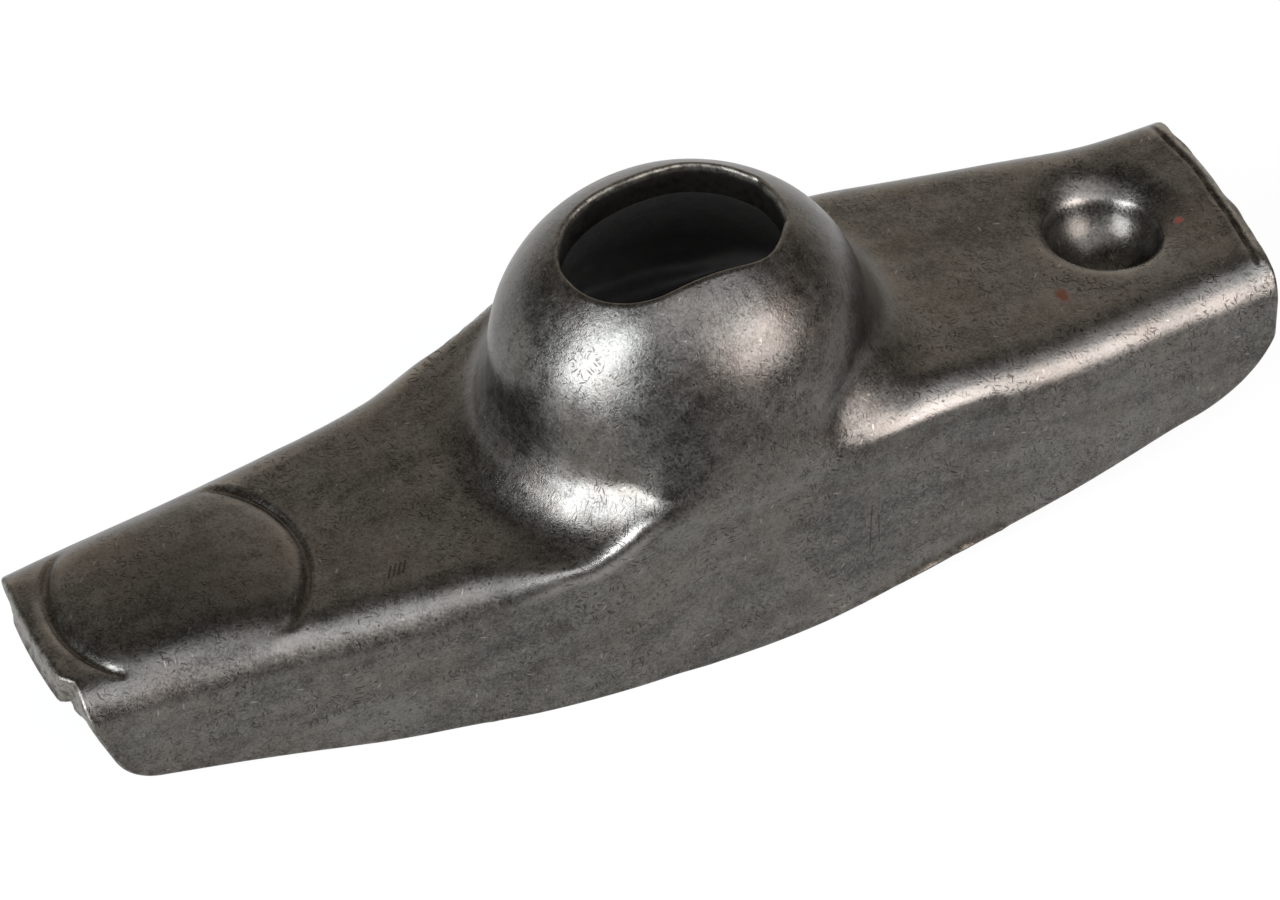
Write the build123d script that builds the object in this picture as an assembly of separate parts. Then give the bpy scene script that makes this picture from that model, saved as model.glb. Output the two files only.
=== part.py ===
"""Rocker arm of a pushrod engine, pressed in one piece from steel sheet.

It lies as it rests on a bench, on the rims of its two flanges with the web up.
The origin is the centre of the pivot dome. X runs along the arm, from the
valve end at -X to the pushrod end at +X, Y across it and Z up. Millimetres.
"""
from build123d import *
from math import asin, atan2, cos, degrees, hypot, radians, sin, sqrt, tan
import os

# Sheet and folds
sheet = 2.4  # thickness of the pressed sheet
fold_radius = 2.4  # outside of the two long folds between web and flanges
fold_inner_radius = 0.7  # inside of the same folds

# Length, measured from the pivot
valve_reach = 40.15  # to the valve end
pushrod_reach = 35.3  # to the pushrod end
valve_end_bow = 42.0  # plan radius of the valve end
pushrod_end_bow = 62.0  # plan radius of the pushrod end

# Plan: half the width outside the flanges, at stations along the arm
valve_end_half_width = 6.45
valve_arm_station = 20.0
valve_arm_half_width = 8.65
shoulder_station = 11.5
pivot_half_width = 10.85  # where the two side lines cross, before rounding
valve_shoulder_taper = 0.8  # narrower than at the pivot by
valve_shoulder_half_width = pivot_half_width - valve_shoulder_taper
pushrod_shoulder_taper = 0.75
pushrod_shoulder_half_width = pivot_half_width - pushrod_shoulder_taper
pushrod_arm_station = 22.0
pushrod_arm_half_width = 9.25
pushrod_end_half_width = 7.8

# Side view: height of the web's outer face over the pivot centre
valve_end_height = -6.7
valve_arm_height = -5.85
step_foot_station = 11.5
step_foot_height = -5.35
step_top_station = 4.5
step_top_height = -2.1
pushrod_shoulder_height = -1.25
pushrod_arm_height = -2.35
pushrod_end_height = -2.7

# Side view: the flange rims
rest_depth = 16.0  # pivot centre down to the rims it rests on
rest_from = 20.0  # flat stretch of rim, on the valve side of the pivot
rest_to = 4.0  # and on the pushrod side
valve_rim_depth = 13.5  # rim at the valve end, if its corner were square
pushrod_rim_depth = 11.0  # rim at the pushrod end, likewise
rim_sweep_radius = 45.0  # where the rim turns up from its flat stretch
valve_flange_rake = 2.9  # how far the flange's end leans back over its height
valve_corner_radius = 3.2
pushrod_corner_radius = 7.0

# Pivot dome, a barrel longer than it is wide
dome_half_length = 11.14
dome_side_margin = 1.01  # from the dome's widest line to that width
dome_half_width = pivot_half_width - dome_side_margin
dome_height = 9.92
dome_wall = 2.2
skirt_draft = 7.0  # degrees by which the dome widens under its widest line
inner_skirt_draft = 3.0  # the same on the inside
skirt_depth = 6.4  # its foot, buried in the web
collar_radius = 4.0  # outside fillet between dome and web
collar_inner_radius = 1.5

# Slot through the dome for the stud
slot_half_length = 6.5
slot_half_width = 4.4
slot_offset = -0.55

# Pushrod seat: a ball cup in a shallow dish
cup_end_margin = 3.0  # from the dish to the pushrod end
cup_ball_radius = 4.0
cup_rim_radius = 3.35
dish_radius = 5.0
cup_position = pushrod_reach - cup_end_margin - dish_radius
dish_depth = 1.15
cup_wall = 1.9

# Valve pad: a slightly crowned disc inside a coined groove
pad_end_margin = 1.4  # from the pad to the valve end
pad_radius = 7.45
pad_position = valve_reach - pad_end_margin - pad_radius
pad_crown = 0.4
pad_groove_radius = 0.5
pad_groove_depth = 0.2
pad_half_width = 5.0  # where the crown runs out beside the folds

# Sheared ends
end_break_length = 1.3
end_break_height = 0.45

corner_share = 0.48  # how much of a leg each rounded corner takes
overlap = 5.0  # how far cutting tools run past the sheet


def soft_line(stations, shift):
    """Line through the stations, its corners rounded, moved to its left by shift."""
    legs = [hypot(b[0] - a[0], b[1] - a[1]) for a, b in zip(stations, stations[1:])]
    turns = [
        abs(atan2(c[1] - b[1], c[0] - b[0]) - atan2(b[1] - a[1], b[0] - a[0]))
        for a, b, c in zip(stations, stations[1:], stations[2:])
    ]
    radii = [
        corner_share * min(before, after) / tan(turn / 2)
        for before, after, turn in zip(legs, legs[1:], turns)
    ]
    line = FilletPolyline(*stations, radius=radii)
    if shift == 0:
        return line
    side = Side.LEFT if shift > 0 else Side.RIGHT
    return offset(line, amount=abs(shift), side=side, closed=False)


def web_line(lift):
    """Outer face of the web in side view, moved off the sheet by lift."""
    stations = [
        (-valve_reach, valve_end_height),
        (-valve_arm_station, valve_arm_height),
        (-step_foot_station, step_foot_height),
        (-step_top_station, step_top_height),
        (shoulder_station, pushrod_shoulder_height),
        (pushrod_arm_station, pushrod_arm_height),
        (pushrod_reach, pushrod_end_height),
    ]
    return soft_line(stations, lift)


def side_line(inset):
    """Outer face of the back flange in plan, moved into the sheet by inset."""
    stations = [
        (-valve_reach, valve_end_half_width),
        (-valve_arm_station, valve_arm_half_width),
        (-shoulder_station, valve_shoulder_half_width),
        (0, pivot_half_width),
        (shoulder_station, pushrod_shoulder_half_width),
        (pushrod_arm_station, pushrod_arm_half_width),
        (pushrod_reach, pushrod_end_half_width),
    ]
    return soft_line(stations, -inset)


def extended(line):
    """The line with a straight run past each of its ends, as a list of edges."""
    return [
        Line(line @ 0 - (line % 0) * overlap, line @ 0),
        *line.edges(),
        Line(line @ 1, line @ 1 + (line % 1) * overlap),
    ]


def closed_face(edges, corners):
    """Face bounded by a chain of edges, closed through the given corner points."""
    start = edges[0] @ 0
    end = edges[-1] @ 1
    closing = Polyline(end, *corners, start)
    return make_face(edges + closing.edges())


def plan_prism(inset):
    """Everything between the two flanges' faces, taller than the arm."""
    back = extended(side_line(inset))
    front = [edge.mirror(Plane.XZ) for edge in back]
    ends = [Line(back[0] @ 0, front[0] @ 0), Line(back[-1] @ 1, front[-1] @ 1)]
    plan = make_face(back + front + ends).moved(Location((0, 0, -rest_depth - overlap)))
    return extrude(plan, rest_depth + dome_height + 2 * overlap)


def channel(lift, inset, fold):
    """Solid under the web and between the flanges, with its two folds rounded."""
    web = extended(web_line(lift))
    floor = -rest_depth - overlap
    profile = closed_face(web, [((web[-1] @ 1).X, floor), ((web[0] @ 0).X, floor)])
    across = 2 * pivot_half_width
    block = extrude(Plane.XZ * profile, across / 2 + overlap, both=True)
    form = block & plan_prism(inset)
    folds = [
        edge
        for edge in form.edges()
        if (edge @ 0).Y * (edge @ 1).Y > 1 and (edge @ 0.5).Z > floor / 2 and abs((edge % 0.5).X) > 0.5
    ]
    return fillet(folds, fold)


def dome(half_length, half_width, height, draft, depth):
    """Solid barrel dome on a skirt that widens a little to its open foot."""
    foot_reach = half_length + depth * tan(radians(draft))
    crown = EllipticalCenterArc((0, 0), half_length, height, arc_size=90)
    lean = 2 * radians(draft)
    skirt = Spline((half_length, 0), (foot_reach, -depth), tangents=[(0, -1), (sin(lean), -cos(lean))])
    foot = Polyline((foot_reach, -depth), (0, -depth), (0, height))
    solid = revolve(Plane.XZ * make_face([crown, skirt, *foot.edges()]), Axis.Z)
    return scale(solid, by=(1, half_width / half_length, 1))


def join_edges(form, half_length):
    """The line where a dome's skirt comes out of the sheet."""
    aspect = dome_half_width / dome_half_length
    widest = half_length + skirt_depth * tan(radians(skirt_draft)) * 1.3
    return [
        edge
        for edge in form.edges()
        if all(half_length * 0.98 < hypot(at.X, at.Y / aspect) < widest for at in (edge @ 0, edge @ 0.5, edge @ 1))
        and (edge @ 0.5).Z < -0.1
        and hypot((edge @ 1).X - (edge @ 0).X, (edge @ 1).Y - (edge @ 0).Y) > 0.3
    ]


def web_frame(station):
    """Place on the web's outer face over a station, with Z square to the face."""
    web = web_line(0).wire()
    crossing = Vector(web.intersect(Line((station, -rest_depth), (station, dome_height)))[0])
    slope = web.tangent_angle_at(web.param_at_point(crossing))
    return Location((crossing.X, 0, crossing.Y), (0, -slope, 0))


def outer_form():
    """Everything inside the outer faces: folded channel, dome and collar."""
    outer_dome = dome(dome_half_length, dome_half_width, dome_height, skirt_draft, skirt_depth)
    form = channel(0, 0, fold_radius) + outer_dome
    return fillet(join_edges(form, dome_half_length), collar_radius)


def cup_ball():
    """Centre of the pushrod's ball over the web, and the cup's lowest point."""
    centre = -dish_depth + sqrt(cup_ball_radius**2 - cup_rim_radius**2)
    return centre, centre - cup_ball_radius


def cavity():
    """The hollow under the sheet, with the back of the cup standing into it."""
    inner_dome = dome(
        dome_half_length - dome_wall,
        dome_half_width - dome_wall,
        dome_height - dome_wall,
        inner_skirt_draft,
        skirt_depth + sheet,
    )
    hollow = channel(-sheet, sheet, fold_inner_radius) + inner_dome
    hollow = fillet(join_edges(hollow, dome_half_length - dome_wall), collar_inner_radius)
    ball_centre, _ = cup_ball()
    bulge = Location((0, 0, ball_centre)) * Sphere(cup_ball_radius + cup_wall)
    return hollow - web_frame(cup_position) * bulge


def cup_cutter():
    """Ball cup with its soft-edged dish."""
    ball_centre, lowest = cup_ball()
    dish = Spline((dish_radius, 0), (cup_rim_radius, -dish_depth), tangents=[(-1, 0), (-1, -1)])
    rim_angle = degrees(asin(cup_rim_radius / cup_ball_radius))
    bowl = CenterArc((0, ball_centre), cup_ball_radius, rim_angle - 90, -rim_angle)
    mouth = Polyline((0, lowest), (0, overlap), (dish_radius, overlap), (dish_radius, 0))
    section = make_face([dish, bowl, *mouth.edges()])
    return web_frame(cup_position) * revolve(Plane.XZ * section, Axis.Z)


def pad_crown_form():
    """Shallow crown of the valve pad, running out at its rim and at the folds."""
    ball = (pad_radius**2 + pad_crown**2) / (2 * pad_crown)
    bar = (pad_half_width**2 + pad_crown**2) / (2 * pad_crown)
    cap = Location((0, 0, pad_crown - ball)) * Sphere(ball)
    along = Location((0, 0, pad_crown - bar), (0, 90, 0)) * Cylinder(bar, 2 * pad_radius)
    face = Box(2 * pad_radius, 2 * pad_half_width, 2 * sheet) & Cylinder(pad_radius, 2 * sheet)
    return web_frame(-pad_position) * (cap & along & face)


def pad_groove():
    """Groove coined round the valve pad."""
    ring = Torus(pad_radius, pad_groove_radius)
    return web_frame(-pad_position) * Location((0, 0, pad_groove_radius - pad_groove_depth)) * ring


def flange_outline():
    """Both flanges in side view, with their rims and rounded corners."""
    top = dome_height + overlap
    corners = [
        (-valve_reach, top),
        (-valve_reach, valve_end_height),
        (valve_flange_rake - valve_reach, -valve_rim_depth),
        (-rest_from, -rest_depth),
        (rest_to, -rest_depth),
        (pushrod_reach, -pushrod_rim_depth),
        (pushrod_reach, top),
    ]
    roundings = [0, 0, valve_corner_radius, rim_sweep_radius, rim_sweep_radius, pushrod_corner_radius, 0]
    return make_face(FilletPolyline(*corners, radius=roundings, close=True).edges())


def end_bows():
    """Plan region between the two bowed ends."""
    side = pivot_half_width + overlap
    valve_sag = valve_end_bow - sqrt(valve_end_bow**2 - side**2)
    pushrod_sag = pushrod_end_bow - sqrt(pushrod_end_bow**2 - side**2)
    valve_corner = valve_sag - valve_reach
    pushrod_corner = pushrod_reach - pushrod_sag
    outline = [
        ThreePointArc((valve_corner, -side), (-valve_reach, 0), (valve_corner, side)),
        Line((valve_corner, side), (pushrod_corner, side)),
        ThreePointArc((pushrod_corner, side), (pushrod_reach, 0), (pushrod_corner, -side)),
        Line((pushrod_corner, -side), (valve_corner, -side)),
    ]
    tall = rest_depth + dome_height + overlap
    return extrude(make_face(outline), tall, both=True)


def sheared_edges():
    """Region left by the blanking shears, at the rims and at both ends."""
    across = pivot_half_width + overlap
    flanges = extrude(Plane.XZ * flange_outline(), across, both=True)
    web_half = valve_end_half_width - fold_radius
    web_end = Location((-valve_reach, 0, valve_end_height)) * Box(
        4 * overlap, 2 * web_half, 2 * (sheet + end_break_height)
    )
    return (flanges + web_end) & end_bows()


def end_break():
    """Wedge that bends the pushrod end's edge down."""
    start = web_frame(pushrod_reach - end_break_length)
    slope = degrees(atan2(end_break_height, end_break_length))
    corner = (Align.MIN, Align.CENTER, Align.MIN)
    block = Box(4 * end_break_length, 3 * pivot_half_width, 2 * sheet, align=corner)
    return start * Location((0, 0, 0), (0, slope, 0)) * block


def stud_slot():
    """Round-ended slot through the crown of the dome."""
    opening = SlotOverall(2 * slot_half_length, 2 * slot_half_width)
    return extrude(Location((slot_offset, 0, 0)) * opening, dome_height + overlap)


def rocker_body():
    """The whole pressing."""
    sheet_form = outer_form() - cavity()
    sheet_form = sheet_form & sheared_edges()
    sheet_form = sheet_form - cup_cutter() - end_break() - stud_slot()
    return sheet_form + pad_crown_form() - pad_groove()


os.makedirs("parts", exist_ok=True)
export_step(rocker_body(), "parts/rocker_body.step")
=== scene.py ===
"""Rocker arm of a pushrod engine: one pressing of steel sheet, worn dark and satin in use."""

from math import cos, pi, radians, sin, tan

import bpy
import numpy as np
from mathutils import Matrix, Vector
from mathutils.geometry import delaunay_2d_cdt
from mathutils.kdtree import KDTree


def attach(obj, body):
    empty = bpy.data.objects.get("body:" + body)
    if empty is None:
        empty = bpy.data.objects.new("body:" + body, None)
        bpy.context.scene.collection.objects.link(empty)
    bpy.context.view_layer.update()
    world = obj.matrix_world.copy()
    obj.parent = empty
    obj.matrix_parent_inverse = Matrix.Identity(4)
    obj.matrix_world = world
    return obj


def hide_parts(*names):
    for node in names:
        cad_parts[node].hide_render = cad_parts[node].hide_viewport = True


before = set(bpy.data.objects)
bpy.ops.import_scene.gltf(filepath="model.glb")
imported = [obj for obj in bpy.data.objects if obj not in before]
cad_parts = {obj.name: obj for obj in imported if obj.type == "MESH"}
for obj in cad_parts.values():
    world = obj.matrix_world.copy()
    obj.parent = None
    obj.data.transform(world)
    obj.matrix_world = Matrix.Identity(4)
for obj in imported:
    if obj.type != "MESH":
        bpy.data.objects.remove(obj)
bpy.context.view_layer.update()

MM = 0.001

# ---------------------------------------------------------------- sizes, in millimetres
# X runs from the valve end at -X to the pushrod end at +X, Z up; the pivot dome's centre is the origin.
SHEET = 2.4
FOLD, FOLD_INSIDE = 2.8, 0.8  # outside and inside radius of the two long folds
VALVE_REACH, PUSHROD_REACH = 40.15, 35.3  # of the two ends from the origin
VALVE_BOW, PUSHROD_BOW = 42.0, 62.0  # radius in plan of the bowed ends
DOME = np.array([11.14, 9.84, 9.9])  # half length, half width and height of the pivot dome
DOME_WALL = np.array([2.2, 2.2, 1.65])  # drawing thins the sheet towards the dome's top
DOME_STEM = 0.05  # how much the dome's upright foot spreads for each millimetre down
FLANK_LEAN, FLANK_RISE = 0.24, 3.5  # slope of the dome's flanks, and how far above the middle it starts
# The skirt at the dome's valve side starts at this height; its spread for each millimetre down is given by
# degrees round from the valve arm.
SKIRT_TOP = -1.75
SKIRT_SPREAD = [
    (-30, 0.4), (22, 0.42), (34, 0.5), (42, 0.62), (48, 0.86), (54, 1.22), (60, 1.6), (66, 1.4),
    (76, 0.6), (90, 0.3), (200, 0.3),
]
SLOT_LENGTH, SLOT_WIDTH, SLOT_OFFSET = 6.5, 4.4, -0.55  # half sizes of the stud slot and its way along X
CUP_X, CUP_BALL, CUP_RIM = 27.3, 3.46, 3.35  # place, ball radius and rim radius of the pushrod's cup
DISH, DISH_DEPTH = 6.1, 1.15  # radius and depth of the dish round the cup
CUP_WALL, BULGE_CENTRE = 2.44, 1.04  # the bulge's ball beyond the cup's, and its centre above the web
PAD_X, PAD_RADIUS, PAD_CROWN = -31.3, 7.45, 0.66  # place, radius and crown of the valve pad
PAD_STEP, PAD_GROOVE = 0.14, 0.22  # how high the pad stands at its rim, and how deep the groove round it is
EDGE, INNER_SHARE = 0.22, 0.8  # rounding of the sheared edges, and its share on the inner face
LIP, ROLL = 0.95, 0.3  # how far in the rolled-over lip of the pushrod end starts, and how deep it falls
NOTCH, SETBACK, RAGGED = 0.3, 0.5, 0.1  # what the shear took off at the nick, beyond it and at the other end

# ---------------------------------------------------------------- fineness of the mesh, in millimetres
SPACING = 0.34  # on the two faces
EDGE_SPACING = 0.31  # along the sheared edges
EDGE_ROW = 0.22  # between the rows of the sheared edges, where the sheet is laid flat
FINE_SPACING = 0.3  # along the rings of the cup and the pad
CUP_RINGS = np.concatenate([np.arange(0.3, 3.0, 0.3), np.arange(3.05, 3.7, 0.1), np.arange(3.8, 6.0, 0.22)])
PAD_RINGS = PAD_RADIUS + np.array([-0.9, -0.62, -0.4, -0.25, -0.12, 0, 0.12, 0.25, 0.4, 0.62])
LIP_LINES = (-0.6, -0.42, -0.28, -0.18, -0.09, 0.0, 0.09, 0.18, 0.28, 0.42)  # out from where the lip starts
# The oval where the dome's rings meet the mesh of the arms: its half sizes and its points.
FOOT_LENGTH, FOOT_WIDTH, FOOT_POINTS = 12.3, 10.3, 208
DOME_RINGS = 48
EVENING_ROUNDS = 40
# Where the dome, sheared edges and inner face lie when laid flat, and the radius that unrolls the dome.
DOME_FLAT, EDGES_FLAT, INNER_FLAT, DOME_UNROLL = 60, 70, 150, 10.4

# ---------------------------------------------------------------- lines the pressing follows, by X
WEB_STATIONS = [
    (-46, -7.1), (-40.15, -6.8), (-36, -6.5), (-31, -6.3), (-24, -6.08), (-20, -5.88), (-16, -5.55),
    (-12.5, -5.35), (-8.5, -5.15), (-7, -4.9), (-5.6, -4), (-4.2, -2.4), (-2.6, -1.9), (11.5, -1.25),
    (14, -1.4), (18, -1.95), (22, -2.35), (26, -2.5), (30, -2.7), (33, -2.6), (35.3, -2.45), (42, -2.3),
]
SIDE_STATIONS = [
    (-46, 5.9), (-38, 6.64), (-34, 7.0), (-30, 7.37), (-26, 7.9), (-22, 8.44), (-18, 8.9), (-16, 9.3),
    (-14, 9.8), (-10, 10.25), (-5, 10.55), (0, 10.64), (5, 10.5), (14, 9.88), (18, 9.64), (22, 9.28),
    (24, 9.0), (26, 8.66), (28, 8.34), (30, 8.14), (34, 8.0), (42, 7.8),
]
# The flange's rim, seen from the side: its corners and how they are rounded.
FLANGE_CORNERS = [
    (-VALVE_REACH, -6.7), (-37.25, -13.6), (-20, -15.97), (4, -15.97),
    (PUSHROD_REACH, -11.0), (PUSHROD_REACH, -2.5),
]
FLANGE_ROUNDINGS = [3.2, 45, 45, 7.0]


def soft_line(stations, softness):
    """Function of x that follows straight legs between stations with every bend softened."""
    x, y = np.array(stations, float).T
    grid = np.arange(x[0], x[-1], 0.05)
    reach = int(4 * softness / 0.05)
    weights = np.exp(-0.5 * (np.arange(-reach, reach + 1) * 0.05 / softness) ** 2)
    padded = np.pad(np.interp(grid, x, y), reach, mode="edge")
    values = np.convolve(padded, weights / weights.sum(), mode="valid")
    return lambda at: np.interp(at, grid, values)


web_height = soft_line(WEB_STATIONS, 0.7)
half_width = soft_line(SIDE_STATIONS, 1.3)
skirt_spread = soft_line(SKIRT_SPREAD, 3.0)


def rounded_chain(corners, roundings, spacing):
    """Points along a chain of straight legs whose inner corners are rounded."""
    corners = [np.array(c, float) for c in corners]
    points = [corners[0]]
    for before, corner, after, radius in zip(corners, corners[1:], corners[2:], roundings):
        arrive = (corner - before) / np.linalg.norm(corner - before)
        leave = (after - corner) / np.linalg.norm(after - corner)
        turn = np.arccos(np.clip(arrive @ leave, -1, 1))
        reach = radius * tan(turn / 2)
        side = 1 if arrive[0] * leave[1] - arrive[1] * leave[0] > 0 else -1
        centre = corner - arrive * reach + side * radius * np.array([-arrive[1], arrive[0]])
        start_x, start_y = corner - arrive * reach - centre
        for angle in np.linspace(0, turn, 40):
            c, s = cos(side * angle), sin(side * angle)
            points.append(centre + [start_x * c - start_y * s, start_x * s + start_y * c])
    points.append(corners[-1])
    return respaced(np.array(points), spacing)


def respaced(points, spacing):
    """The same line with its points evenly spaced."""
    steps = np.linalg.norm(np.diff(points, axis=0), axis=1)
    along = np.concatenate([[0], np.cumsum(steps)])
    count = max(2, int(round(along[-1] / spacing)) + 1)
    even = np.linspace(0, along[-1], count)
    return np.stack([np.interp(even, along, points[:, k]) for k in range(points.shape[1])], 1)


# ---------------------------------------------------------------- the sheet, flat and formed
# A flat place on the sheet is (x, w): w is the way from the middle line across the web, round the fold and
# down the flange, positive towards the back.
def formed(x, w, inset=0.0):
    """Place of a flat point on the folded channel, on its outer face or inset from it."""
    outer_flat = half_width(x) - FOLD
    side, web = half_width(x) - inset, web_height(x) - inset
    radius = FOLD if inset == 0 else FOLD_INSIDE
    flat = side - radius
    across = np.abs(w)
    angle = np.clip((across - outer_flat) / FOLD, 0, pi / 2)
    down = np.maximum(across - outer_flat - FOLD * pi / 2, 0)
    tall = np.maximum(web_height(x) - FOLD - rim_height(x), 1)
    drop = down * (tall - radius - inset + FOLD) / tall
    y = np.minimum(across / outer_flat, 1) * flat + radius * np.sin(angle)
    z = web - radius + radius * np.cos(angle) - drop
    return np.stack([x, np.sign(w) * y, z], -1)


def flat_from_height(x, z):
    """w of a point of the fold or the flange at height z."""
    below = web_height(x) - z
    angle = np.arccos(np.clip(1 - below / FOLD, -1, 1))
    return half_width(x) - FOLD + np.where(below < FOLD, FOLD * angle, FOLD * pi / 2 + below - FOLD)


def flat_from_plan(x, y):
    """w of a point of the web or the fold seen from above."""
    flat = half_width(x) - FOLD
    angle = np.arcsin(np.clip((np.abs(y) - flat) / FOLD, 0, 1))
    return np.sign(y) * np.where(np.abs(y) < flat, np.abs(y), flat + FOLD * angle)


rim_line = rounded_chain(FLANGE_CORNERS, FLANGE_ROUNDINGS, 0.2)
rim_top = rim_line[(rim_line[:, 0] > -37.4) & (rim_line[:, 1] < -10.5)]


def rim_height(x):
    """Height of the flange's rim along the arm."""
    order = np.argsort(rim_top[:, 0])
    return np.interp(x, rim_top[order, 0], rim_top[order, 1])


def bow(reach, radius, y):
    """How far out a bowed end reaches at y."""
    return reach - radius + np.sqrt(radius**2 - y**2)


def blank_outline(inset):
    """Closed outline of the flat blank, run round with the sheet on its left, moved in by inset."""
    x, z = rim_line.T
    w = flat_from_height(x, z)
    y = np.minimum(formed(x, w)[:, 1], half_width(x))
    x = np.clip(x, -bow(VALVE_REACH, VALVE_BOW, y), bow(PUSHROD_REACH, PUSHROD_BOW, y))
    valve_web = np.linspace(0, w[0], 20, endpoint=False)
    pushrod_web = np.linspace(w[-1], 0, 21)[1:]
    back = np.concatenate([
        np.stack([-bow(VALVE_REACH, VALVE_BOW, valve_web), valve_web], 1),
        np.stack([x, w], 1),
        np.stack([bow(PUSHROD_REACH, PUSHROD_BOW, pushrod_web), pushrod_web], 1),
    ])
    back = respaced(back, EDGE_SPACING)
    front = back[::-1][1:-1] * [1, -1]
    x, w = np.concatenate([back, front]).T
    loop = np.stack([x + valve_shear(x, w) - pushrod_shear(x, w), w], 1)[::-1]
    return moved_in(loop, inset)


def valve_shear(x, w):
    """What the shear took off the valve end: a nick where the near fold starts, and a little beyond it."""
    past = -w - half_width(x) + FOLD - 0.35
    notch = NOTCH * np.exp(-((past / 0.24) ** 2))
    setback = SETBACK * soft_step(past, 0, 0.3) * (1 - soft_step(past, 0.6, 4.5))
    valve_end = (x < -36) * (x < -bow(VALVE_REACH, VALVE_BOW, np.clip(w, -6.6, 6.6)) + 1.2)
    return (notch + setback) * valve_end


def pushrod_shear(x, w):
    """What the shear took off the pushrod end's web, unevenly."""
    pushrod_end = x > bow(PUSHROD_REACH, PUSHROD_BOW, np.minimum(np.abs(w), 8)) - 0.4
    return np.maximum(RAGGED + wobble(w, 2.6, 0.05, 8), 0) * pushrod_end * soft_step(8.5 - np.abs(w), 0, 2)


def moved_in(loop, inset):
    """A closed loop, sheet on its left, moved to its left."""
    along = np.roll(loop, -1, 0) - np.roll(loop, 1, 0)
    along /= np.linalg.norm(along, axis=1)[:, None]
    return loop + inset * np.stack([-along[:, 1], along[:, 0]], 1)


# ---------------------------------------------------------------- the pressed form as a solid
# Each function gives how far points are outside a form, negative inside. They are mixed with round
# transitions, and the faces of the sheet are then drawn onto the result.
def round_join(a, b, radius):
    """Union of two forms with a hollow fillet."""
    u, v = np.maximum(radius - a, 0), np.maximum(radius - b, 0)
    return np.maximum(radius, np.minimum(a, b)) - np.sqrt(u * u + v * v)


def round_trim(a, b, radius):
    """What two forms share, with a rounded edge."""
    u, v = np.maximum(radius + a, 0), np.maximum(radius + b, 0)
    return np.minimum(-radius, np.maximum(a, b)) + np.sqrt(u * u + v * v)


def soft_step(value, low, high):
    t = np.clip((value - low) / (high - low), 0, 1)
    return t * t * (3 - 2 * t)


def pressed_form(points, inset):
    """How far points are outside the outer face, or outside the hollow when inset is the sheet's wall."""
    x, y, z = points.T
    outside = inset == 0
    a, b, c = DOME if outside else DOME - DOME_WALL
    turn = np.degrees(np.arctan2(np.abs(y), -x))  # round the dome from the valve arm
    beside = soft_step(turn, 56, 74)
    along = soft_step(np.abs(x) / (np.hypot(x, y) + 1e-6), 0.45, 0.95)

    # The channel: its folds tighten where the skirt runs out into them.
    side = np.abs(y) - (half_width(x) - inset)
    web = z - (web_height(x) - inset)
    tight = soft_step(x, -16, -10) * (1 - soft_step(x, -7, -4))
    channel = round_trim(web, side, FOLD - 2.25 * tight if outside else FOLD_INSIDE)

    # The dome: half an egg on an upright oval foot, whose flanks lean out into the flanges.
    oval = np.sqrt((x / a) ** 2 + (y / b) ** 2)
    size = np.sqrt(oval**2 + (z / c) ** 2)
    steep = np.sqrt((x / a**2) ** 2 + (y / b**2) ** 2 + (z / c**2) ** 2)
    cap = size * (size - 1) / np.maximum(steep, 1e-6)
    radial = (oval - 1) * (a * b) / np.sqrt(np.maximum((b * x / a) ** 2 + (a * y / b) ** 2, 1e-6)) * oval
    stem = radial - DOME_STEM * np.maximum(-z, 0)
    flank = soft_step(turn, 46, 62) * (1 - soft_step(turn, 104, 128))
    above = np.maximum(FLANK_RISE - z, 0) ** 2 / (2 * FLANK_RISE)
    lean = np.where(z > 0, above, FLANK_RISE / 2 - np.maximum(z, -4))
    dome = np.where(z > 0, cap, stem) - FLANK_LEAN * flank * lean * outside

    # The skirt: a cone that spreads most towards the corners between the valve arm and the flanges.
    spread = skirt_spread(turn)
    skirt = (radial - spread * (SKIRT_TOP - z)) / np.sqrt(1 + spread**2)
    top = SKIRT_TOP + 0.5 - 1.2 * soft_step(turn, 50, 62)
    skirt = round_trim(round_trim(skirt, z - top, 0.5), side, 0.25 + 1.0 * beside)

    foot_fillet = 1.8 - 1.3 * soft_step(turn, 52, 78) if outside else 0.5 + 3 * along
    dome_fillet = 0.35 + 1.5 * beside + 1.8 * along * soft_step(x, -2, 6) if outside else 0.6 + 2.4 * along
    form = round_join(round_join(channel, skirt, foot_fillet), dome, dome_fillet)
    return round_trim(form, side, 0.5)


def drawn_on(points, inset, rounds=6):
    """Points moved square to the form's face until they lie on it."""
    step = 0.01
    for _ in range(rounds):
        value = pressed_form(points, inset)
        slope = np.empty_like(points)
        for k, way in enumerate(np.eye(3) * step):
            slope[:, k] = (pressed_form(points + way, inset) - pressed_form(points - way, inset)) / (2 * step)
        size = np.maximum((slope**2).sum(1), 0.05)
        move = np.clip(value / size, -0.8, 0.8)
        points = points - slope * move[:, None]
    return points


# ---------------------------------------------------------------- mesh of the sheet's face
def ring(centre, radius, spacing):
    count = int(2 * pi * radius / spacing)
    angle = np.arange(count) * 2 * pi / count
    return np.array(centre) + radius * np.stack([np.cos(angle), np.sin(angle)], 1)


def inside(loop, points):
    """Which points are inside a closed loop."""
    x, y = points.T
    x0, y0 = loop.T
    x1, y1 = np.roll(loop, -1, 0).T
    hit = np.zeros(len(points), bool)
    for ax, ay, bx, by in zip(x0, y0, x1, y1):
        if ay != by:
            crossing = (ay > y) != (by > y)
            hit ^= crossing & (x < (bx - ax) * (y - ay) / (by - ay) + ax)
    return hit


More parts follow.
